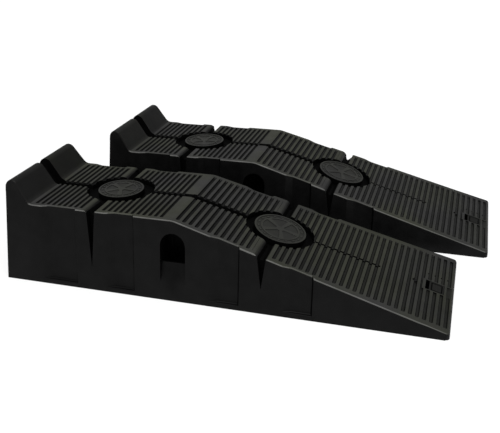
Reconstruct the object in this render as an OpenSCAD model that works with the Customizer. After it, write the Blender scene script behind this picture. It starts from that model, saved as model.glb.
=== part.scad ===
// Pair of moulded plastic wheel ramps: ribbed drive-on incline, flat wheel platform and a raised
// wheel stop. Each ramp carries two round badges in ring wells and a clip-in grip pad under the toe.
// X runs from the rear wall to the toe, Y across the ramp, Z up. Units are millimetres.

/* [Ramp size] */
// length of one ramp at the floor
ramp_len = 905; // [890:1:920]
// width of one ramp at the floor
base_w = 295; // [288:1:302]
// height of the wheel platform
platform_h = 165; // [160:1:170]
// height of the wheel stop
stop_h = 211; // [206:1:216]
// thickness of the toe
toe_h = 12; // [11:0.5:14]
// inward lean of each side wall per millimetre of height
side_draft = 0.145; // [0.13:0.005:0.16]
// forward lean of the rear wall per millimetre of height
rear_draft = 0.05; // [0.03:0.005:0.06]
// distance from the rear wall to the crest of the incline
crest_x = 374; // [368:1:380]
// radius of the rounded crest
crest_r = 60; // [40:1:75]
// radius of the toe corners
toe_corner_r = 7; // [4:0.5:10]

/* [Wheel stop] */
// radius of the rounded ridge
ridge_r = 14; // [12:0.5:16]
// steepness of the stop face above horizontal
stop_face_deg = 58; // [56:1:62]
// radius of the hollow where the stop meets the platform
foot_r = 14; // [8:1:16]

/* [Tread] */
// spacing of the cross grooves on the platform
platform_pitch = 12.4; // [12:0.1:13]
// spacing of the cross grooves on the incline
incline_pitch = 13.4; // [12.8:0.1:14]
// width of a groove at the deck surface
groove_top_w = 7.2; // [6:0.1:8]
// width of a groove at its floor
groove_floor_w = 4.4; // [3:0.1:5]
// depth of a groove
groove_depth = 3.4; // [2.6:0.1:3.8]
// plain strip left along each side of the platform
tread_margin = 11; // [9:0.5:14]
// plain strip left along each side at the toe
toe_margin = 16; // [12:0.5:20]

/* [Badges] */
// distance from the rear wall to the rear badge
rear_badge_x = 208; // [205:1:210]
// distance from the rear wall to the front badge
front_badge_x = 556; // [553:1:558]
// radius of the rear badge
rear_badge_r = 48; // [46:0.5:50]
// radius of the front badge
front_badge_r = 54; // [52:0.5:56]
// radius of the round ends of a badge well
well_r = 65; // [64:0.5:67]
// length of the straight middle of a badge well
well_straight = 14; // [10:1:16]
// depth of a badge well
well_depth = 14; // [12:0.5:15]
// height of a badge above the deck
badge_rise = 0.2; // [0:0.1:0.6]

/* [Channels and side walls] */
// distance from the rear wall to the rear cross channel
rear_channel_x = 199; // [197:1:203]
// distance from the rear wall to the front cross channel
front_channel_x = 553; // [551:1:556]
// width of a cross channel at the deck
channel_w = 21; // [18:0.5:23]
// depth of a cross channel
channel_depth = 12; // [10:0.5:13]
// rounding of the rear lip of a cross channel
pillow_r = 14; // [10:0.5:15]
// rounding of the front lip of a cross channel
lip_r = 4; // [3:0.5:6]
// height of the pointed end of a side notch
notch_tip_z = 50; // [46:1:56]
// depth of a side notch into the wall
notch_depth = 15; // [10:0.5:17]
// distance from the rear wall to the middle of the plain wall round the rear notch
rear_pilaster_x = 198; // [197:1:200]
// half the length of the plain wall round the rear notch
rear_pilaster_half = 32; // [29:1:34]
// distance from the rear wall to the middle of the plain wall round the front notch
front_pilaster_x = 551; // [550:1:554]
// half the length of the plain wall round the front notch
front_pilaster_half = 41; // [38:1:42]
// distance from the rear wall to the rearmost recessed bay
rear_bay_x = 87; // [84:1:92]
// length of each of the other recessed bays
bay_len = 62; // [58:1:64]
// depth of a recessed bay
bay_depth = 6.5; // [4:0.5:8]
// run of the sloping rear end of a bay
bay_run = 18; // [12:1:22]
// run of the sloping front end of a bay
bay_steep_run = 4; // [3:0.5:6]
// height of the plain foot below the bays
plinth_h = 10; // [8:0.5:14]
// width of the groove down the middle of the deck
spine_w = 18; // [14:0.5:19]
// depth of the groove down the middle of the deck
spine_depth = 13; // [10:0.5:14]

/* [Hand hole] */
// width of the hand hole
hand_w = 52; // [46:1:56]
// height of the top of the hand hole
hand_top_z = 138; // [132:1:140]
// height of the lower lip of the hand hole
hand_lip_z = 76; // [70:1:82]
// height where the scoop below the lip fades into the wall
scoop_foot_z = 38; // [32:1:44]
// depth of the scoop at the lip
scoop_depth = 15; // [10:0.5:16]

/* [Shell] */
// thickness of the side and rear walls
wall_t = 5; // [4:0.5:6]
// thickness of the deck below the tread
deck_t = 6.5; // [5.5:0.5:8]
// thickness of the webs under the deck
web_t = 4; // [3:0.5:5]
// spacing of the webs across the ramp
web_pitch = 75; // [72:0.5:78]
// distance of the outer lengthwise webs from the middle
web_side_y = 68; // [64:1:70]

/* [Toe fittings] */
// length of the grip pad
grip_len = 78; // [72:1:80]
// width of the grip pad
grip_w = 130; // [110:1:132]
// thickness of the grip pad
grip_t = 4; // [3:0.5:4.5]
// length of the latch of the grip pad
latch_len = 29; // [26:0.5:30]
// width of the latch of the grip pad
latch_w = 34; // [30:1:38]
// open slot left behind the latch
latch_slot = 7; // [5:0.5:8]
// radius of the head of the pin
pin_head_r = 4.6; // [3.5:0.1:5]

/* [Pair] */
// distance between the middles of the two ramps
pair_pitch = 342; // [335:1:360]
// forward offset of the second ramp
pair_stagger = 63; // [40:1:80]

/* [Hidden] */
$fn = 96;
eps = 0.01;
over = 2;
gap = 0.3;
// arcs pass this far outside or inside tangent, so that they end in clean edges
arc_ease = 0.12;
slope = atan((platform_h - toe_h) / (ramp_len - crest_x));
lean = atan(side_draft);
rear_norm = sqrt(1 + rear_draft * rear_draft);
ridge_z = stop_h - ridge_r;
ridge_x = rear_draft * ridge_z + ridge_r * rear_norm;
face_x = ridge_x + ridge_r * sin(stop_face_deg);
face_z = ridge_z + ridge_r * cos(stop_face_deg);
foot_x = face_x + (face_z - platform_h) / tan(stop_face_deg);
foot_run = foot_r * tan(stop_face_deg / 2);
apex_z = (foot_x + platform_h / tan(stop_face_deg)) / (rear_draft + 1 / tan(stop_face_deg));
apex_x = rear_draft * apex_z;
crest_run = crest_r * tan(slope / 2);
badge_h = well_depth + badge_rise;
peg_r = 8;
peg_len = 7;
well_floor = 10;
front_channel_z = platform_h - (front_channel_x - crest_x) * tan(slope);
front_channel_s = (front_channel_x - crest_x) / cos(slope);
front_badge_s = (front_badge_x - crest_x) / cos(slope);
channel_rise_deg = atan(channel_depth / (channel_w / 2 - 3));
lip_steps = 4;
incline_len = (ramp_len - crest_x) / cos(slope);
plain_before_crest = 16;
plain_crest = 6.6;
plain_toe = 10;
platform_tread_start = foot_x + foot_run + 6;
platform_grooves = floor((crest_x - plain_before_crest - platform_tread_start) / platform_pitch);
incline_grooves = floor((incline_len - plain_crest - plain_toe) / incline_pitch);
deck_half = base_w / 2 - side_draft * platform_h;
toe_half = base_w / 2 - side_draft * toe_h;
ceiling_z = platform_h - deck_t - groove_depth;
core_end_x = ramp_len - 28;
toe_block_x = ramp_len - 93;
toe_block_half = 71;
grip_x = ramp_len - 9 - grip_len;
latch_x = ramp_len - 19 - latch_len;
pin_x = ramp_len - 76;
pin_r = 2.4;
pin_recess = 1;
split_w = 26;
split_depth = 18;
split_face_depth = 14;
link_w = 14;
link_depth = 12;
line_w = 6;
line_depth = 5;
pin_head_t = 2;
mark_x = latch_x - 5;
mark_y = 41;
mark_w = 3;
mark_len = 5;
mark_pitch = 12.7;
outline_w = 2.4;
tip_slot_w = 9;
tip_slot_len = latch_w + 8;
spine_end_x = ramp_len - 145;
frame_x = -(ramp_len + pair_stagger) / 2;

moulding_black = [0.10, 0.10, 0.10];
badge_black = [0.14, 0.14, 0.14];
rubber_black = [0.06, 0.06, 0.06];
pin_grey = [0.20, 0.20, 0.20];

// extrudes a shape drawn in X and Z across the ramp
module across(width) {
  rotate([90, 0, 0])
    linear_extrude(height = width, center = true)
      children();
}

// moves children to a point on the incline, with their Z axis square to it
module on_incline(s) {
  translate([crest_x, 0, platform_h])
    rotate([0, slope, 0])
      translate([s, 0, 0])
        children();
}

// repeats children on the two side walls, with Y pointing into the wall and Z up its face
module on_walls() {
  for (side = [0, 1])
    mirror([0, side, 0])
      translate([0, -base_w / 2, 0])
        rotate([-lean, 0, 0])
          children();
}

// outline of the ramp seen from the side
module side_outline() {
  difference() {
    polygon([
      [0, 0],
      [apex_x, apex_z],
      [foot_x - foot_run * cos(stop_face_deg), platform_h + foot_run * sin(stop_face_deg)],
      [foot_x + foot_run, platform_h],
      [crest_x, platform_h],
      [ramp_len - 3, toe_h + 3 * tan(slope)],
      [ramp_len, toe_h - 2],
      [ramp_len, 0]
    ]);
    ridge_corner();
    crest_corner();
    translate([foot_x + foot_run, platform_h + foot_r])
      circle(r = foot_r - arc_ease);
  }
}

// sharp corner taken off to leave the round ridge of the stop
module ridge_corner() {
  difference() {
    polygon([
      [ridge_x, ridge_z],
      [ridge_x - ridge_r / rear_norm, ridge_z + ridge_r * rear_draft / rear_norm],
      [apex_x - over, apex_z - over * rear_draft],
      [apex_x, apex_z + over],
      [apex_x + over, apex_z + over / tan(stop_face_deg)],
      [face_x, face_z]
    ]);
    translate([ridge_x, ridge_z])
      circle(r = ridge_r + arc_ease);
  }
}

// thin corner taken off to leave the rounded crest
module crest_corner() {
  end_x = crest_x + crest_run * cos(slope);
  end_z = platform_h - crest_run * sin(slope);
  difference() {
    polygon([
      [crest_x - crest_run, platform_h - over],
      [crest_x - crest_run, platform_h + over],
      [crest_x + over, platform_h + over],
      [end_x + over * sin(slope), end_z + over * cos(slope)],
      [end_x - over * sin(slope), end_z - over * cos(slope)]
    ]);
    translate([crest_x - crest_run, platform_h - crest_r])
      circle(r = crest_r + arc_ease);
  }
}

// section of the ramp seen from the rear, walls leaning inwards
module end_outline(inset) {
  top = stop_h + over;
  low = -over;
  polygon([
    [-base_w / 2 + inset + side_draft * low, low],
    [base_w / 2 - inset - side_draft * low, low],
    [base_w / 2 - inset - side_draft * top, top],
    [-base_w / 2 + inset + side_draft * top, top]
  ]);
}

// plan of the ramp with rounded toe corners
module plan_outline() {
  difference() {
    translate([-over, -base_w / 2 - over])
      square([ramp_len + over, base_w + 2 * over]);
    for (side = [-1, 1])
      translate([ramp_len - toe_corner_r, side * (toe_half - toe_corner_r)])
        difference() {
          translate([0, side > 0 ? 0 : -toe_corner_r - 3 * over])
            square([toe_corner_r + over, toe_corner_r + 3 * over]);
          circle(r = toe_corner_r);
        }
  }
}

// solid ramp before anything is cut into it
module blank() {
  intersection() {
    across(base_w + over)
      side_outline();
    rotate([90, 0, 90])
      linear_extrude(height = ramp_len + over)
        end_outline(0);
    linear_extrude(height = stop_h + over)
      plan_outline();
  }
}

// one tread groove in section, surface at zero
module groove_section() {
  polygon([
    [-groove_floor_w / 2, -groove_depth],
    [groove_floor_w / 2, -groove_depth],
    [groove_top_w / 2, 0],
    [groove_top_w / 2, over],
    [-groove_top_w / 2, over],
    [-groove_top_w / 2, 0]
  ]);
}

// plan of the ribbed area: platform strip, then widening towards the toe
module tread_plan() {
  side = deck_half - tread_margin;
  difference() {
    polygon([
      [foot_x, -side],
      [crest_x, -side],
      [ramp_len, -toe_half + toe_margin],
      [ramp_len, toe_half - toe_margin],
      [crest_x, side],
      [foot_x, side]
    ]);
    for (x = [rear_channel_x, front_channel_x])
      translate([x - lip_reach(pillow_r) - 3, -base_w / 2])
        square([lip_reach(pillow_r) + lip_reach(lip_r) + 6, base_w]);
    translate([latch_x - latch_slot - 6, -latch_w / 2 - 3])
      square([ramp_len, latch_w + 6]);
  }
}

// all cross grooves of the tread
module tread_grooves() {
  intersection() {
    across(base_w)
      union() {
        for (i = [0 : platform_grooves])
          translate([platform_tread_start + i * platform_pitch, platform_h])
            groove_section();
        translate([crest_x, platform_h])
          rotate(-slope)
            for (i = [0 : incline_grooves])
              translate([plain_crest + i * incline_pitch, 0])
                groove_section();
      }
    linear_extrude(height = stop_h)
      tread_plan();
  }
}

// distance from the middle of a cross channel to the end of a lip rounded with radius r
function lip_reach(r) = channel_w / 2 + r * tan(channel_rise_deg / 2);

// points of a lip rounded with radius r, from the slope of the channel up to the deck
function lip_points(r, grow) = [
  for (i = [0 : lip_steps])
    let (turn = channel_rise_deg * (1 - i / lip_steps))
      [lip_reach(r) - r * sin(turn) + grow, r * (cos(turn) - 1)]
];

// cross channel in section, grown by a wall when it backs the deck
module channel_section(grow) {
  deep = channel_depth + grow;
  rear = lip_points(pillow_r, grow);
  polygon(concat(
    [[-3 - grow / 2, -deep], [3 + grow / 2, -deep]],
    lip_points(lip_r, grow),
    [[lip_reach(lip_r) + grow, over], [-lip_reach(pillow_r) - grow, over]],
    [for (i = [lip_steps : -1 : 0]) [-rear[i][0], rear[i][1]]]
  ));
}

// both cross channels
module cross_channels(grow, top) {
  translate([rear_channel_x, 0, platform_h - top])
    across(base_w + over)
      channel_section(grow);
  on_incline(front_channel_s)
    translate([0, 0, -top])
      across(base_w + over)
        channel_section(grow);
}

// pointed notch in the wall below a cross channel
module notch(x, deck_z, grow) {
  top = deck_z / cos(lean);
  tip = notch_tip_z - 2 * grow;
  half = channel_w / 2 - 1.5 + grow;
  rise = half / (top - tip);
  translate([x, notch_depth + grow, 0])
    rotate([90, 0, 0])
      linear_extrude(height = notch_depth + grow + over)
        polygon([
          [-rise * (top + over - tip), top + over],
          [0, tip],
          [rise * (top + over - tip), top + over]
        ]);
}

// shallow recess in the wall from one distance to another, with sloping ends
module bay(from_x, to_x, grow) {
  deep = bay_depth + grow;
  translate([0, 0, plinth_h - grow])
    linear_extrude(height = stop_h)
      polygon([
        [from_x - grow, -over],
        [from_x - grow, 0],
        [from_x - grow + bay_run, deep],
        [to_x + grow - bay_steep_run, deep],
        [to_x + grow, 0],
        [to_x + grow, -over]
      ]);
}

// everything recessed into a side wall
module wall_recesses(grow) {
  rear_from = rear_pilaster_x - rear_pilaster_half;
  rear_to = rear_pilaster_x + rear_pilaster_half;
  front_from = front_pilaster_x - front_pilaster_half;
  front_to = front_pilaster_x + front_pilaster_half;
  notch(rear_channel_x, platform_h, grow);
  notch(front_channel_x, front_channel_z, grow);
  bay(rear_bay_x, rear_from, grow);
  bay(rear_to, rear_to + bay_len, grow);
  bay(front_from - bay_len, front_from, grow);
  bay(front_to, front_to + bay_len, grow);
  scoop(grow);
}

// outline of the hand hole above its lip
module hand_outline(grow) {
  translate([crest_x, hand_top_z - hand_w / 2])
    circle(r = hand_w / 2 + grow);
  translate([crest_x - hand_w / 2 - grow, hand_lip_z])
    square([hand_w + 2 * grow, hand_top_z - hand_w / 2 - hand_lip_z]);
}

// hand holes through both walls
module hand_holes() {
  difference() {
    across(base_w + over)
      hand_outline(0);
    translate([0, -web_side_y, 0])
      cube([ramp_len, 2 * web_side_y, stop_h]);
  }
}

// sloping scoop below the lip of a hand hole
module scoop(grow) {
  top_z = hand_lip_z + (grow > 0 ? eps : over);
  translate([crest_x - hand_w / 2 - grow, 0, 0])
    rotate([90, 0, 90])
      linear_extrude(height = hand_w + 2 * grow)
        polygon([
          [-over, scoop_foot_z - grow],
          [0, scoop_foot_z - grow],
          [scoop_depth + grow, hand_lip_z - grow],
          [scoop_depth + grow, top_z],
          [-over, top_z]
        ]);
}

// groove segment along the deck, flat floor and sloping sides, running in +X
module spine_segment(len, width, floor_w, depth) {
  rotate([90, 0, 90])
    linear_extrude(height = len)
      polygon([
        [-floor_w / 2, -depth],
        [floor_w / 2, -depth],
        [width / 2, 0],
        [width / 2, 4 * over],
        [-width / 2, 4 * over],
        [-width / 2, 0]
      ]);
}

// groove down the middle of the deck, over the stop and along the incline
module spine() {
  face_len = (face_z - platform_h) / sin(stop_face_deg);
  translate([-over, 0, stop_h - 2])
    spine_segment(ridge_x + over + 6, split_w, split_w - 6, split_depth);
  translate([face_x, 0, face_z])
    rotate([0, stop_face_deg, 0])
      translate([-ridge_r - 4, 0, 0])
        spine_segment(face_len + ridge_r + 8, split_w, split_w - 6, split_face_depth);
  translate([foot_x - 4, 0, platform_h])
    spine_segment(rear_badge_x - well_r - foot_x, spine_w, spine_w - 6, spine_depth);
  translate([rear_badge_x + well_r, 0, platform_h])
    spine_segment(crest_x - rear_badge_x - well_r - 2, link_w, link_w - 5, link_depth);
  on_incline(-4)
    spine_segment(front_badge_s - well_r + 4, spine_w, spine_w - 6, spine_depth);
  on_incline(front_badge_s + well_r)
    spine_segment(
      (spine_end_x - crest_x) / cos(slope) - front_badge_s - well_r,
      line_w, line_w - 2, line_depth
    );
}

// plan of a badge well: two half rounds with a short straight middle
module well_plan(grow) {
  for (side = [-1, 1])
    translate([side * well_straight / 2, 0])
      circle(r = well_r + grow);
  square([well_straight, 2 * (well_r + grow - arc_ease)], center = true);
}

// well for a badge with a peg hole in its floor
module well() {
  translate([0, 0, -well_depth])
    linear_extrude(height = well_depth + 3 * over)
      well_plan(0);
  translate([0, 0, -well_depth - peg_len - 1])
    cylinder(r = peg_r + gap, h = peg_len + 1 + over);
}

// boss under a badge well
module well_boss() {
  translate([0, 0, -well_depth - well_floor])
    linear_extrude(height = well_depth + well_floor + over)
      well_plan(wall_t);
}

// webs under the deck: cross webs centred on the hand hole, and three lengthwise webs
module webs() {
  for (i = [-5 : 6])
    translate([crest_x + (i - 0.5) * web_pitch - web_t / 2, -base_w / 2, -over])
      cube([web_t, base_w, stop_h]);
  for (y = [-web_side_y, 0, web_side_y])
    translate([0, y - web_t / 2, -over])
      cube([ramp_len, web_t, stop_h]);
}

// solid core under the middle of the toe that carries the grip pad
module toe_block() {
  translate([toe_block_x, -toe_block_half, -over])
    cube([ramp_len, 2 * toe_block_half, stop_h]);
}

// hollow under the deck
module core() {
  top_z = platform_h + 15;
  inner_x = face_x - (wall_t + 3) * sin(stop_face_deg);
  inner_z = face_z - (wall_t + 3) * cos(stop_face_deg);
  difference() {
    intersection() {
      across(base_w)
        polygon([
          [wall_t, -over],
          [wall_t + 1 + rear_draft * top_z, top_z],
          [inner_x + (inner_z - top_z) / tan(stop_face_deg), top_z],
          [inner_x + (inner_z - ceiling_z) / tan(stop_face_deg), ceiling_z],
          [crest_x - 4, ceiling_z],
          [core_end_x, ceiling_z - (core_end_x - crest_x + 4) * tan(slope)],
          [core_end_x, -over]
        ]);
      rotate([90, 0, 90])
        linear_extrude(height = ramp_len)
          end_outline(wall_t);
    }
    webs();
    toe_block();
    cross_channels(wall_t, 0);
    on_walls()
      wall_recesses(wall_t);
    translate([rear_badge_x, 0, platform_h])
      well_boss();
    on_incline(front_badge_s)
      well_boss();
    translate([0, -spine_w, 0])
      spine_backing();
  }
}

// thicker deck under the middle groove
module spine_backing() {
  translate([0, 2 * spine_w, 0])
    rotate([90, 0, 0])
      linear_extrude(height = 2 * spine_w)
        polygon([
          [0, platform_h - spine_depth - wall_t],
          [crest_x, platform_h - spine_depth - wall_t],
          [ramp_len, toe_h - spine_depth - wall_t],
          [ramp_len, stop_h],
          [0, stop_h]
        ]);
}

// recesses and openings of the toe
module toe_cuts() {
  translate([grip_x, -grip_w / 2, -over])
    cube([grip_len, grip_w, grip_t + over]);
  translate([latch_x - latch_slot, -latch_w / 2 - gap, -over])
    cube([latch_len + latch_slot + gap, latch_w + 2 * gap, platform_h]);
  translate([pin_x, 0, -over])
    cylinder(r = pin_r + gap, h = platform_h);
  translate([pin_x, 0, deck_z(pin_x) - pin_recess - pin_head_t])
    cylinder(r = pin_head_r + gap, h = 5 * pin_head_t);
  for (i = [0 : 3])
    translate([mark_x + i * mark_pitch, mark_y, deck_z(mark_x + i * mark_pitch) - groove_depth])
      cube([mark_w, mark_len, over + groove_depth]);
  translate([ramp_len - 5 - tip_slot_w, -tip_slot_len + latch_w / 2, toe_h + 0.5])
    cube([tip_slot_w, tip_slot_len, over + groove_depth]);
}

// height of the deck surface at a distance along the incline
function deck_z(x) = platform_h - (x - crest_x) * tan(slope);

// one moulded ramp body
module body() {
  color(moulding_black)
    difference() {
      blank();
      core();
      tread_grooves();
      cross_channels(0, 0);
      on_walls()
        wall_recesses(0);
      hand_holes();
      spine();
      translate([rear_badge_x, 0, platform_h])
        well();
      on_incline(front_badge_s)
        well();
      toe_cuts();
    }
}

// round badge: dished face with a rim, a plain wheel relief and a peg below
module badge(r) {
  color(badge_black) {
    difference() {
      cylinder(r = r, h = badge_h);
      translate([0, 0, badge_h - 1.5])
        cylinder(r = r - 4, h = over);
    }
    translate([0, 0, -peg_len])
      cylinder(r = peg_r, h = peg_len + over);
    translate([0, 0, badge_h - 1.5 - eps])
      badge_relief(r - 7);
  }
}

// wheel motif inside radius r: block ring, thin ring, five spokes and a hub
module badge_relief(r) {
  ring_r = r - 6;
  linear_extrude(height = 1.3) {
    difference() {
      circle(r = ring_r);
      circle(r = ring_r - 4);
    }
    circle(r = 9);
    for (k = [0 : 4])
      rotate(72 * k)
        polygon([[8, -3], [ring_r - 3, -5.5], [ring_r - 3, 5.5], [8, 3]]);
    for (k = [0 : 17])
      rotate(20 * k)
        translate([r - 3.5, -3])
          square([4, 6]);
  }
}

// rubber pad under the toe with a latch that comes up through the deck
module toe_grip() {
  top_near = deck_z(latch_x) - 0.6;
  top_far = deck_z(latch_x + latch_len) - 0.6;
  color(rubber_black)
    difference() {
      union() {
        translate([grip_x + gap, -grip_w / 2 + gap, 0])
          cube([grip_len - 2 * gap, grip_w - 2 * gap, grip_t - eps]);
        across(latch_w - gap)
          polygon([
            [latch_x, grip_t / 2],
            [latch_x + latch_len, grip_t / 2],
            [latch_x + latch_len, top_far],
            [latch_x, top_near]
          ]);
      }
      translate([pin_x, 0, -over])
        cylinder(r = pin_r + gap, h = grip_t + 2 * over);
      latch_outline(top_near);
      for (i = [0 : 9])
        translate([grip_x + 4 + i * 7.4, -grip_w / 2 - over, -over])
          cube([3, grip_w + 2 * over, over + 1]);
    }
}

// shallow square outline on the top of the latch
module latch_outline(top_near) {
  translate([latch_x, 0, top_near])
    rotate([0, slope, 0])
      translate([0, 0, -1])
        linear_extrude(height = 2 * over)
          difference() {
            translate([4, -latch_w / 2 + 2.5])
              square([latch_len - 6, latch_w - 5]);
            translate([4 + outline_w, -latch_w / 2 + 2.5 + outline_w])
              square([latch_len - 6 - 2 * outline_w, latch_w - 5 - 2 * outline_w]);
          }
}

// push pin that holds the grip pad
module toe_pin() {
  head_z = deck_z(pin_x) - pin_recess - pin_head_t;
  color(pin_grey)
    translate([pin_x, 0, 0]) {
      translate([0, 0, 1.5])
        cylinder(r = pin_r, h = head_z - 1);
      translate([0, 0, head_z])
        cylinder(r = pin_head_r, h = pin_head_t);
    }
}

// places a piece of the first ramp
module ramp_a() {
  translate([frame_x, -pair_pitch / 2, 0])
    children();
}

// places a piece of the second ramp
module ramp_b() {
  translate([frame_x + pair_stagger, pair_pitch / 2, 0])
    children();
}

module ramp_a_body() {
  ramp_a()
    body();
}

module ramp_a_rear_badge() {
  ramp_a()
    translate([rear_badge_x, 0, platform_h - well_depth])
      badge(rear_badge_r);
}

module ramp_a_front_badge() {
  ramp_a()
    on_incline(front_badge_s)
      translate([0, 0, -well_depth])
        badge(front_badge_r);
}

module ramp_a_toe_grip() {
  ramp_a()
    toe_grip();
}

module ramp_a_toe_pin() {
  ramp_a()
    toe_pin();
}

module ramp_b_body() {
  ramp_b()
    body();
}

module ramp_b_rear_badge() {
  ramp_b()
    translate([rear_badge_x, 0, platform_h - well_depth])
      badge(rear_badge_r);
}

module ramp_b_front_badge() {
  ramp_b()
    on_incline(front_badge_s)
      translate([0, 0, -well_depth])
        badge(front_badge_r);
}

module ramp_b_toe_grip() {
  ramp_b()
    toe_grip();
}

module ramp_b_toe_pin() {
  ramp_b()
    toe_pin();
}

ramp_a_body();
ramp_a_rear_badge();
ramp_a_front_badge();
ramp_a_toe_grip();
ramp_a_toe_pin();
ramp_b_body();
ramp_b_rear_badge();
ramp_b_front_badge();
ramp_b_toe_grip();
ramp_b_toe_pin();
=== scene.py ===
"""Looks for the pair of moulded wheel ramps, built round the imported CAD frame.

Each CAD node is copied, its flat faces are joined up, its edges are rounded as a mould would
leave them, and it gets a procedural material. The scene is in metres, in the frame of the CAD
part; the constants below are in millimetres.
"""

import math

import bmesh
import bpy
from mathutils import Matrix, Vector
from mathutils.bvhtree import BVHTree
from mathutils.geometry import delaunay_2d_cdt


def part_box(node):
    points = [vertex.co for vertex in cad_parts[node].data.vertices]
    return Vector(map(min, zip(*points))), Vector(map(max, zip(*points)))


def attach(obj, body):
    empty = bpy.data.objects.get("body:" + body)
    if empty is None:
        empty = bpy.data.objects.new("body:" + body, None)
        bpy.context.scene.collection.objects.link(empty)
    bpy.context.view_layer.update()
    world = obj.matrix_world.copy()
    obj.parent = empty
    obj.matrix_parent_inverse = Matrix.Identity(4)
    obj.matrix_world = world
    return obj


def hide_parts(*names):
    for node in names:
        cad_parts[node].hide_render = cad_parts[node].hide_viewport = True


MM = 0.001
RAMPS = ("ramp_a", "ramp_b")

# the ramp: x from the rear wall, y from the middle, heights from the floor
CREST_X = 374
PLATFORM_H = 165
TOE_X = 905
TOE_H = 12
SLOPE = math.atan2(PLATFORM_H - TOE_H, TOE_X - CREST_X)
SIDE_DRAFT = 0.145

# ribs of the platform and of the incline: start, pitch and number
PLATFORM_RIBS = (81.3, 12.4, 24)
INCLINE_RIBS = (6.6, 13.4, 41)

# places where the large faces are cut; WALL_RIBS are numbers in the list of rib_seams, and no
# cut of the deck is within PIN_CLEAR of the pin
SEAMS_X = (20, 40, 62.5)
SEAMS_Y = (-100, -50, 50, 100)
WALL_RIBS = (1, 22, 30, 49, 53, 57, 60, 64)
PIN_X = 829
PIN_CLEAR = 20
LARGE_FACE = 8

# the recesses, whose faces are painted near black as shade: half widths, ends and depths under
# the deck surface
SPLIT_HALF = 13.4
SPLIT_END = 72
SPLIT_DEPTH = 20
CHANNEL_INWARDS = 9
CHANNEL_DEPTHS = (5, 15.5)
NOTCHES_X = (199, 553)
NOTCH_HALF = 14
NOTCH_INWARDS = 17
HAND_HALF = 27
HAND_INWARDS = 40
HAND_DEPTHS = (24, 98)
WALL_SKIN = 1.5
LINE_HALF = 3.4
LINE_FROM = 600
LINE_DEPTHS = (0.6, 8)
LINE_FLOOR = 4.3
BAY_INWARDS = (0.3, 6.5)

# edge rounding, and the angle from which an edge is rounded
EDGE_ROUND = 0.5
RIM_ROUND = 2.4
SHARP = math.radians(28)
STRAY = 1.1
RIM_ASIDE = 110
RIM_TOE_GAP = 25

# the camera: angles and lens, and its place from the near ramp's corner on the floor, in metres
CAMERA_ANGLES = (17.129, 24.709, -1.123)
CAMERA_OFFSET = (0.8904, -1.1453, 0.7543)
CAMERA_LENS = 52.705
SENSOR_WIDTH = 36

FLOOR_HALF = 15
FLOOR_Z = -0.0004
WORLD_STRENGTH = 0.34

# grey of the rims of the deck: painted highlight, with some scuffing
RIM_SCUFF_AND_HIGHLIGHT_GREY = (0.12, 0.12, 0.115)


# ---------------------------------------------------------------- shaping


def on_floor(face):
    """True for a face that the ramp stands on."""
    return face.normal.z < -0.9 and face.calc_center_median().z < 0.1 * MM


def joined_faces(node):
    """A bmesh of a CAD node with its triangles joined into flat faces, except on the floor."""
    bm = bmesh.new()
    bm.from_mesh(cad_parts[node].data)
    bmesh.ops.remove_doubles(bm, verts=bm.verts, dist=0.02 * MM)
    floor_edges = {e for f in bm.faces if on_floor(f) for e in f.edges}
    bmesh.ops.dissolve_limit(
        bm,
        angle_limit=math.radians(0.6),
        verts=[v for v in bm.verts if not any(on_floor(f) for f in v.link_faces)],
        edges=[e for e in bm.edges if e not in floor_edges],
        use_dissolve_boundaries=False,
    )
    return bm


def split_faces(bm, wanted, point, normal):
    """Cuts the large faces that are wanted along a plane, so that rounding them stays clean."""
    large = [f for f in bm.faces if len(f.verts) > LARGE_FACE and wanted(f)]
    parts = set(large)
    for face in large:
        parts.update(face.edges)
        parts.update(face.verts)
    bmesh.ops.bisect_plane(
        bm, geom=list(parts), dist=1e-6, plane_co=point, plane_no=normal
    )


def faces_up(face):
    """True for the faces of the deck."""
    return face.normal.z > 0.3


def faces_aside(face):
    """True for the faces of the side walls."""
    return abs(face.normal.y) > 0.9


def rib_seams():
    """Distances from the rear wall, in millimetres, of cuts that run along the ribs."""
    start, pitch, count = PLATFORM_RIBS
    seams = [start + (k + 0.5) * pitch for k in range(count)]
    start, pitch, count = INCLINE_RIBS
    seams += [
        CREST_X + (start + (k + 0.5) * pitch) * math.cos(SLOPE) for k in range(count)
    ]
    return [*SEAMS_X, *seams]


def split_shell(bm, node):
    """Cuts the deck between its ribs and the side walls at a few plain places."""
    low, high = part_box(node)
    middle_y = (low.y + high.y) / 2
    for x in rib_seams():
        if abs(x - PIN_X) > PIN_CLEAR:
            split_faces(bm, faces_up, (low.x + x * MM, 0, 0), (1, 0, 0))
    for y in SEAMS_Y:
        split_faces(bm, faces_up, (0, middle_y + y * MM, 0), (0, 1, 0))
    for x in [CREST_X, *(rib_seams()[i] for i in WALL_RIBS)]:
        split_faces(bm, faces_aside, (low.x + x * MM, 0, 0), (1, 0, 0))


def is_rim(edge, low, high):
    """True for the long edges where the deck or the wheel stop meets a side wall."""
    middle = (edge.verts[0].co + edge.verts[1].co) / 2
    aside = abs(middle.y - (low.y + high.y) / 2) > RIM_ASIDE * MM
    over = max(f.normal.z for f in edge.link_faces) > 0.45
    return (
        aside
        and over
        and any(faces_aside(f) for f in edge.link_faces)
        and middle.x < high.x - RIM_TOE_GAP * MM
    )


def is_open(face, surface):
    """True if nothing of the piece is above the face, so that it isn't inside the shell."""
    start = face.calc_center_median() + face.normal * 0.5 * MM
    return surface.ray_cast(start, Vector((0, 0, 1)))[0] is None


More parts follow.
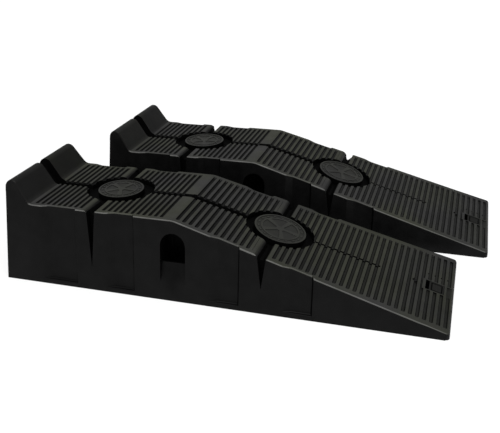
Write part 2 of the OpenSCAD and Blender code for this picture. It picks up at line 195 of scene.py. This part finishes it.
def set_rounding(bm, node, edge_round, deck):
    """Gives every sharp edge its share of the rounding; the hollow side stays as it is."""
    low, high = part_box(node)
    weights = bm.edges.layers.float.new("bevel_weight_edge")
    surface = BVHTree.FromBMesh(bm)
    shown = {
        f
        for f in bm.faces
        if not on_floor(f) and (not deck or is_open(f, surface) or faces_aside(f))
    }
    for edge in bm.edges:
        if any(on_floor(f) for f in edge.link_faces):
            continue
        if not any(f in shown for f in edge.link_faces):
            continue
        if len(edge.link_faces) == 2 and edge.calc_face_angle(0) > SHARP:
            rim = deck and is_rim(edge, low, high)
            edge[weights] = 1.0 if rim else edge_round / RIM_ROUND


def flat_triangles(mesh):
    """Points and faces of a mesh; large flat faces become triangles even where they overlap."""
    points = [v.co.copy() for v in mesh.vertices]
    faces = []
    for face in mesh.polygons:
        corners = list(face.vertices)
        if len(corners) < 5:
            faces.append(corners)
            continue
        across = face.normal.orthogonal().normalized()
        along = face.normal.cross(across)
        origin = face.center
        flat = [
            Vector(((points[i] - origin).dot(across), (points[i] - origin).dot(along)))
            for i in corners
        ]
        found, _, triangles, source, _, _ = delaunay_2d_cdt(
            flat, [], [list(range(len(flat)))], 1, 1e-7
        )
        names = []
        for place, came_from in zip(found, source):
            if came_from:
                names.append(corners[came_from[0]])
            else:
                names.append(len(points))
                points.append(origin + across * place.x + along * place.y)
        faces += [[names[i] for i in triangle] for triangle in triangles]
    return points, faces


def rounded(bm, segments):
    """The bmesh with its edges rounded; a point thrown off the surface is put back on it."""
    surface = BVHTree.FromBMesh(bm)
    mesh = bpy.data.meshes.new("sharp")
    bm.to_mesh(mesh)
    bm.free()
    draft = bpy.data.objects.new("sharp", mesh)
    bpy.context.scene.collection.objects.link(draft)
    bevel = draft.modifiers.new("rounding", "BEVEL")
    bevel.limit_method = "WEIGHT"
    bevel.width = RIM_ROUND * MM
    bevel.segments = segments
    bevel.use_clamp_overlap = False
    bevel.miter_outer = "MITER_ARC"
    graph = bpy.context.evaluated_depsgraph_get()
    result = bpy.data.meshes.new_from_object(draft.evaluated_get(graph))
    bpy.data.objects.remove(draft)
    for vertex in result.vertices:
        place, _, _, distance = surface.find_nearest(vertex.co)
        if distance > STRAY * MM:
            vertex.co = place
    points, faces = flat_triangles(result)
    solid = bpy.data.meshes.new("rounded")
    solid.from_pydata(points, [], faces)
    solid.update()
    return solid


def place_on_ramp(face, low, high):
    """Where a face is, in millimetres: from the rear wall, off the middle, under the deck
    surface, and inwards from the surface of the side wall."""
    x = (face.center.x - low.x) / MM
    y = (face.center.y - (low.y + high.y) / 2) / MM
    z = face.center.z / MM
    depth = PLATFORM_H - max(0, x - CREST_X) * math.tan(SLOPE) - z
    inwards = (high.y - low.y) / 2 / MM - abs(y) - SIDE_DRAFT * z
    return x, y, depth, inwards


def rubbing_and_painted_light(face, x, depth, inwards):
    """How much lighter grey a face gets, part rubbing and dust, part painted light: 0 below the
    deck, 1 on it, up to 2 on its rims; faces under the deck and the groove floors get less as
    painted shade, and it fades a little towards the toe.
    """
    up = max(0, face.normal.z)
    along = max(0, x - CREST_X) / (TOE_X - CREST_X)
    if depth < -1:
        return 0.3 * up
    # rims of the deck: painted highlight with some scuffing, less towards the toe
    if depth < RIM_ROUND + 0.2 and inwards < 8.5 and 0.2 < up < 0.95:
        if abs(face.normal.y) > 0.25:
            return 2 - 0.55 * along if inwards < RIM_ROUND + 0.6 else 1.25
    # groove floors between the ribs get less lighter grey: painted shade
    if up > 0.95 and 2.5 < depth < 4.4:
        return 0.3 * along
    # up-facing faces lighter as painted light from above, with dust; less with depth under the
    # deck, as painted shade
    return up * up * min(1, max(0, 1 - (depth - 0.2) / 3)) * (1 - 0.22 * along * along)


def within(value, limits):
    """True if the value is between the two limits."""
    return limits[0] < value < limits[1]


def is_recess(face, x, y, depth, inwards):
    """True inside the wells, channels, notches, hand holes and the split of the wheel stop, and
    on the bay ends that face the rear wall; these faces are painted near black as shade.
    """
    normal = face.normal
    if abs(y) < SPLIT_HALF and x < SPLIT_END and depth < SPLIT_DEPTH:
        return normal.x > -0.8
    if inwards > CHANNEL_INWARDS and within(depth, CHANNEL_DEPTHS) and normal.z > -0.3:
        return True
    if any(abs(x - middle) < NOTCH_HALF for middle in NOTCHES_X) and depth > -1:
        return WALL_SKIN < inwards < NOTCH_INWARDS and normal.z < 0.5
    if abs(x - CREST_X) < HAND_HALF:
        inside = WALL_SKIN < inwards < HAND_INWARDS and within(depth, HAND_DEPTHS)
        return inside and normal.y**2 < 0.6
    if abs(y) < LINE_HALF and x > LINE_FROM and within(depth, LINE_DEPTHS):
        return abs(normal.y) > 0.5 or depth > LINE_FLOOR
    return normal.x < -0.6 and within(inwards, BAY_INWARDS)


def mark_faces(mesh, node, painted_shade_depth):
    """Gives the recessed faces the second, near-black material as painted shade, and stores for
    every face how much lighter grey it gets: part rubbing and dust, part painted light and
    shade.
    """
    low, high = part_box(node[: len(RAMPS[0])] + "_body")
    values = []
    for face in mesh.polygons:
        x, y, depth, inwards = place_on_ramp(face, low, high)
        values.append(rubbing_and_painted_light(face, x, depth, inwards))
        if painted_shade_depth is None:
            face.material_index = int(is_recess(face, x, y, depth, inwards))
        else:
            face.material_index = int(depth > painted_shade_depth)
    rubbed_and_painted_light = mesh.attributes.new("rubbed_and_painted_light", "FLOAT", "FACE")
    rubbed_and_painted_light.data.foreach_set("value", values)


def piece(node, material, edge_round=EDGE_ROUND, painted_shade_depth=None):
    """A rounded copy of a CAD node that stands for it; a body has no painted_shade_depth."""
    deck = painted_shade_depth is None
    bm = joined_faces(node)
    if deck:
        split_shell(bm, node)
    set_rounding(bm, node, edge_round, deck)
    mesh = rounded(bm, 3 if deck else 2)
    mesh.name = node + "_visual"
    mesh.materials.append(material)
    mesh.materials.append(painted_shade_plastic)
    mark_faces(mesh, node, painted_shade_depth)
    mesh.shade_smooth()
    obj = bpy.data.objects.new(node + "_visual", mesh)
    bpy.context.scene.collection.objects.link(obj)
    normals = obj.modifiers.new("normals", "WEIGHTED_NORMAL")
    normals.weight = 60
    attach(obj, node[: len(RAMPS[0])])
    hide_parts(node)
    return obj


# ---------------------------------------------------------------- materials


class Nodes:
    """Short helpers for building one node material."""

    def __init__(self, name):
        self.material = bpy.data.materials.new(name)
        self.material.use_nodes = True
        self.tree = self.material.node_tree
        self.shader = self.tree.nodes["Principled BSDF"]

    def add(self, kind, **settings):
        """A new node, with its sockets or settings filled in."""
        node = self.tree.nodes.new(kind)
        for key, value in settings.items():
            if key in node.inputs:
                node.inputs[key].default_value = value
            else:
                setattr(node, key, value)
        return node

    def link(self, source, target):
        """Joins two sockets."""
        self.tree.links.new(source, target)

    def noise(self, scale, detail, roughness=0.55):
        """Noise in the piece's own coordinates."""
        place = self.add("ShaderNodeTexCoord").outputs["Object"]
        node = self.add(
            "ShaderNodeTexNoise", Scale=scale, Detail=detail, Roughness=roughness
        )
        self.link(place, node.inputs["Vector"])
        return node.outputs["Fac"]

    def remap(self, value, low, high, out_low, out_high):
        """Maps one range onto another."""
        node = self.add("ShaderNodeMapRange", clamp=True)
        for key, number in zip(
            ("From Min", "From Max", "To Min", "To Max"), (low, high, out_low, out_high)
        ):
            node.inputs[key].default_value = number
        self.link(value, node.inputs["Value"])
        return node.outputs["Result"]

    def mix(self, factor, first, second):
        """Mixes two colours or sockets."""
        node = self.add("ShaderNodeMix", data_type="RGBA")
        self.link(factor, node.inputs["Factor"])
        for socket, colour in ((node.inputs["A"], first), (node.inputs["B"], second)):
            if isinstance(colour, tuple):
                socket.default_value = (*colour, 1)
            else:
                self.link(colour, socket)
        return node.outputs["Result"]

    def multiply(self, first, second):
        """The product of two sockets."""
        node = self.add("ShaderNodeMath", operation="MULTIPLY")
        self.link(first, node.inputs[0])
        self.link(second, node.inputs[1])
        return node.outputs["Value"]

    def facing_up(self, low, high):
        """0 to 1 as the surface turns up."""
        normal = self.add("ShaderNodeSeparateXYZ")
        geometry = self.add("ShaderNodeNewGeometry")
        self.link(geometry.outputs["Normal"], normal.inputs["Vector"])
        return self.remap(normal.outputs["Z"], low, high, 0, 1)

    def bump(self, height, strength, distance, below=None):
        """A bump, on top of another one if given."""
        node = self.add("ShaderNodeBump", Strength=strength, Distance=distance)
        self.link(height, node.inputs["Height"])
        if below is not None:
            self.link(below, node.inputs["Normal"])
        return node.outputs["Normal"]


def grey(value):
    """A neutral colour."""
    return (value, value, value)


def moulded(name, dark, light, film_and_painted_light, roughness, level, grain, patches=None):
    """Black moulded plastic: mottled body colour, a lighter grey on up-facing faces (part dust,
    part painted light from above), fine grain.

    With patches, the lighter grey follows the stored attribute (rubbing and dust, with painted
    shade below the deck and a painted highlight on the rims) and takes that colour in places."""
    m = Nodes(name)
    mottle = m.remap(m.noise(34, 4), 0.3, 0.7, 0, 1)
    colour = m.mix(mottle, dark, light)
    patchy = m.remap(m.noise(11, 5, 0.62), 0.3, 0.7, 0.6, 1)
    # lighter grey on up-facing faces: part dust, part painted light from above
    where = m.facing_up(0.55, 0.97)
    # with patches the stored attribute sets it instead: painted light and shade with rubbing
    # and dust
    if patches:
        where = m.add("ShaderNodeAttribute", attribute_name="rubbed_and_painted_light").outputs["Fac"]
    covered = m.multiply(patchy, where)
    if patches:
        film_and_painted_light = m.mix(m.remap(m.noise(6, 3), 0.42, 0.6, 0, 1), film_and_painted_light, patches)
    colour = m.mix(covered, colour, film_and_painted_light)
    # rims lightened in grey, broken up by noise: painted highlight with some scuffing
    if patches:
        scuffs_and_painted_highlight = m.remap(where, 1, 2, 0, 1)
        rim = m.multiply(scuffs_and_painted_highlight, m.remap(m.noise(26, 3), 0.3, 0.7, 0.4, 1))
        colour = m.mix(rim, colour, RIM_SCUFF_AND_HIGHLIGHT_GREY)
    m.link(colour, m.shader.inputs["Base Color"])
    m.link(
        m.remap(m.noise(60, 4), 0.3, 0.7, roughness - 0.06, roughness + 0.06),
        m.shader.inputs["Roughness"],
    )
    coarse = m.bump(m.noise(12, 2), 0.25, 0.0012)
    m.link(m.bump(m.noise(1500, 2), grain, 0.0001, coarse), m.shader.inputs["Normal"])
    m.shader.inputs["Specular IOR Level"].default_value = level
    return m.material


# ---------------------------------------------------------------- scene


def add_camera():
    """The camera of the picture, placed from the near ramp's corner on the floor."""
    low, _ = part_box("ramp_a_body")
    azimuth, elevation, roll = (math.radians(x) for x in CAMERA_ANGLES)
    ahead = Vector(
        (
            -math.sin(azimuth) * math.cos(elevation),
            math.cos(azimuth) * math.cos(elevation),
            -math.sin(elevation),
        )
    )
    level = Vector((math.cos(azimuth), math.sin(azimuth), 0))
    upright = level.cross(ahead)
    right = math.cos(roll) * level + math.sin(roll) * upright
    up = -math.sin(roll) * level + math.cos(roll) * upright
    turn = Matrix((right, up, -ahead)).transposed().to_4x4()
    data = bpy.data.cameras.new("camera")
    data.sensor_width = SENSOR_WIDTH
    data.lens = CAMERA_LENS
    data.clip_start, data.clip_end = 0.05, 60
    camera = bpy.data.objects.new("camera", data)
    ahead_x, ahead_y, above = CAMERA_OFFSET
    place = Vector((low.x + ahead_x, low.y + ahead_y, above))
    camera.matrix_world = Matrix.Translation(place) @ turn
    bpy.context.scene.collection.objects.link(camera)
    bpy.context.scene.camera = camera


def add_softbox(name, place, target, size, watts):
    """A rectangular lamp at one place, aimed at another."""
    data = bpy.data.lights.new(name, "AREA")
    data.shape = "RECTANGLE"
    data.size, data.size_y = size
    data.energy = watts
    light = bpy.data.objects.new(name, data)
    light.location = place
    aim = Vector(target) - Vector(place)
    light.rotation_euler = aim.to_track_quat("-Z", "Y").to_euler()
    bpy.context.scene.collection.objects.link(light)


def add_sun(name, direction, irradiance, spread):
    """A large, distant, soft lamp, so that the floor is lit evenly."""
    data = bpy.data.lights.new(name, "SUN")
    data.energy = irradiance
    data.angle = math.radians(spread)
    light = bpy.data.objects.new(name, data)
    light.rotation_euler = Vector(direction).to_track_quat("-Z", "Y").to_euler()
    bpy.context.scene.collection.objects.link(light)


def add_studio():
    """Plain pale floor, pale surroundings and soft lights."""
    world = bpy.data.worlds.new("studio")
    world.use_nodes = True
    background = world.node_tree.nodes["Background"]
    background.inputs["Color"].default_value = (1, 1, 1, 1)
    background.inputs["Strength"].default_value = WORLD_STRENGTH
    bpy.context.scene.world = world
    m = Nodes("floor_white")
    m.shader.inputs["Base Color"].default_value = (0.9, 0.9, 0.9, 1)
    m.shader.inputs["Roughness"].default_value = 0.9
    m.shader.inputs["Specular IOR Level"].default_value = 0.1
    bm = bmesh.new()
    bmesh.ops.create_grid(bm, x_segments=2, y_segments=2, size=FLOOR_HALF)
    mesh = bpy.data.meshes.new("floor")
    bm.to_mesh(mesh)
    bm.free()
    mesh.materials.append(m.material)
    floor = bpy.data.objects.new("floor", mesh)
    floor.location.z = FLOOR_Z
    bpy.context.scene.collection.objects.link(floor)
    add_sun("key", (-0.12, 0.36, -0.92), 2.85, 28)
    add_softbox("fill", (1.5, -1.5, 0.7), (0.3, -0.2, 0.1), (1.2, 0.9), 9)
    bpy.context.scene.view_settings.view_transform = "Standard"


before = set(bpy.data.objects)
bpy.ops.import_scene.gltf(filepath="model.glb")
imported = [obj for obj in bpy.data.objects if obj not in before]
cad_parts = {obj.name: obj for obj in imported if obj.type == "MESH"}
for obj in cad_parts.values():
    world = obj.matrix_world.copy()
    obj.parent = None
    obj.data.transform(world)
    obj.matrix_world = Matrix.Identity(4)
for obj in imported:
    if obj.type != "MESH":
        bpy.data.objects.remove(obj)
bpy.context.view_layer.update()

plastic = moulded(
    "moulded_black_pp",
    dark=grey(0.0016),
    light=grey(0.0032),
    film_and_painted_light=(0.036, 0.036, 0.035),
    roughness=0.45,
    level=0.09,
    grain=0.35,
    patches=(0.0375, 0.0392, 0.029),
)
# the plastic again, near black and less glossy, for the faces in recesses: painted shade
painted_shade_plastic = moulded(
    "moulded_black_painted_shade",
    dark=grey(0.0004),
    light=grey(0.001),
    film_and_painted_light=grey(0.001),
    roughness=0.7,
    level=0.03,
    grain=0.3,
)
badge_plastic = moulded(
    "badge_black_pp",
    dark=grey(0.004),
    light=grey(0.007),
    film_and_painted_light=(0.027, 0.027, 0.0262),
    roughness=0.42,
    level=0.12,
    grain=0.2,
    patches=(0.028, 0.029, 0.024),
)
rubber = moulded(
    "rubber_black",
    dark=grey(0.002),
    light=grey(0.004),
    film_and_painted_light=(0.012, 0.012, 0.011),
    roughness=0.75,
    level=0.08,
    grain=0.6,
)
nylon = moulded(
    "pin_black_nylon",
    dark=grey(0.001),
    light=grey(0.002),
    film_and_painted_light=grey(0.002),
    roughness=0.35,
    level=0.1,
    grain=0.1,
)

# a part of each ramp: its material, record slot, edge rounding and the depth under the deck
# from which its faces are painted near black as shade
SMALL_PARTS = (
    ("rear_badge", badge_plastic, "badge_black", 0.45, 2.6),
    ("front_badge", badge_plastic, "badge_black", 0.45, 2.6),
    ("toe_grip", rubber, "rubber_black", 0.4, 1.2),
    ("toe_pin", nylon, "pin_black", 0.4, 6),
)
for ramp in RAMPS:
    piece(ramp + "_body", plastic)
    for name, material, slot, edge_round, painted_shade_depth in SMALL_PARTS:
        piece(f"{ramp}_{name}", material, edge_round, painted_shade_depth)

add_camera()
add_studio()
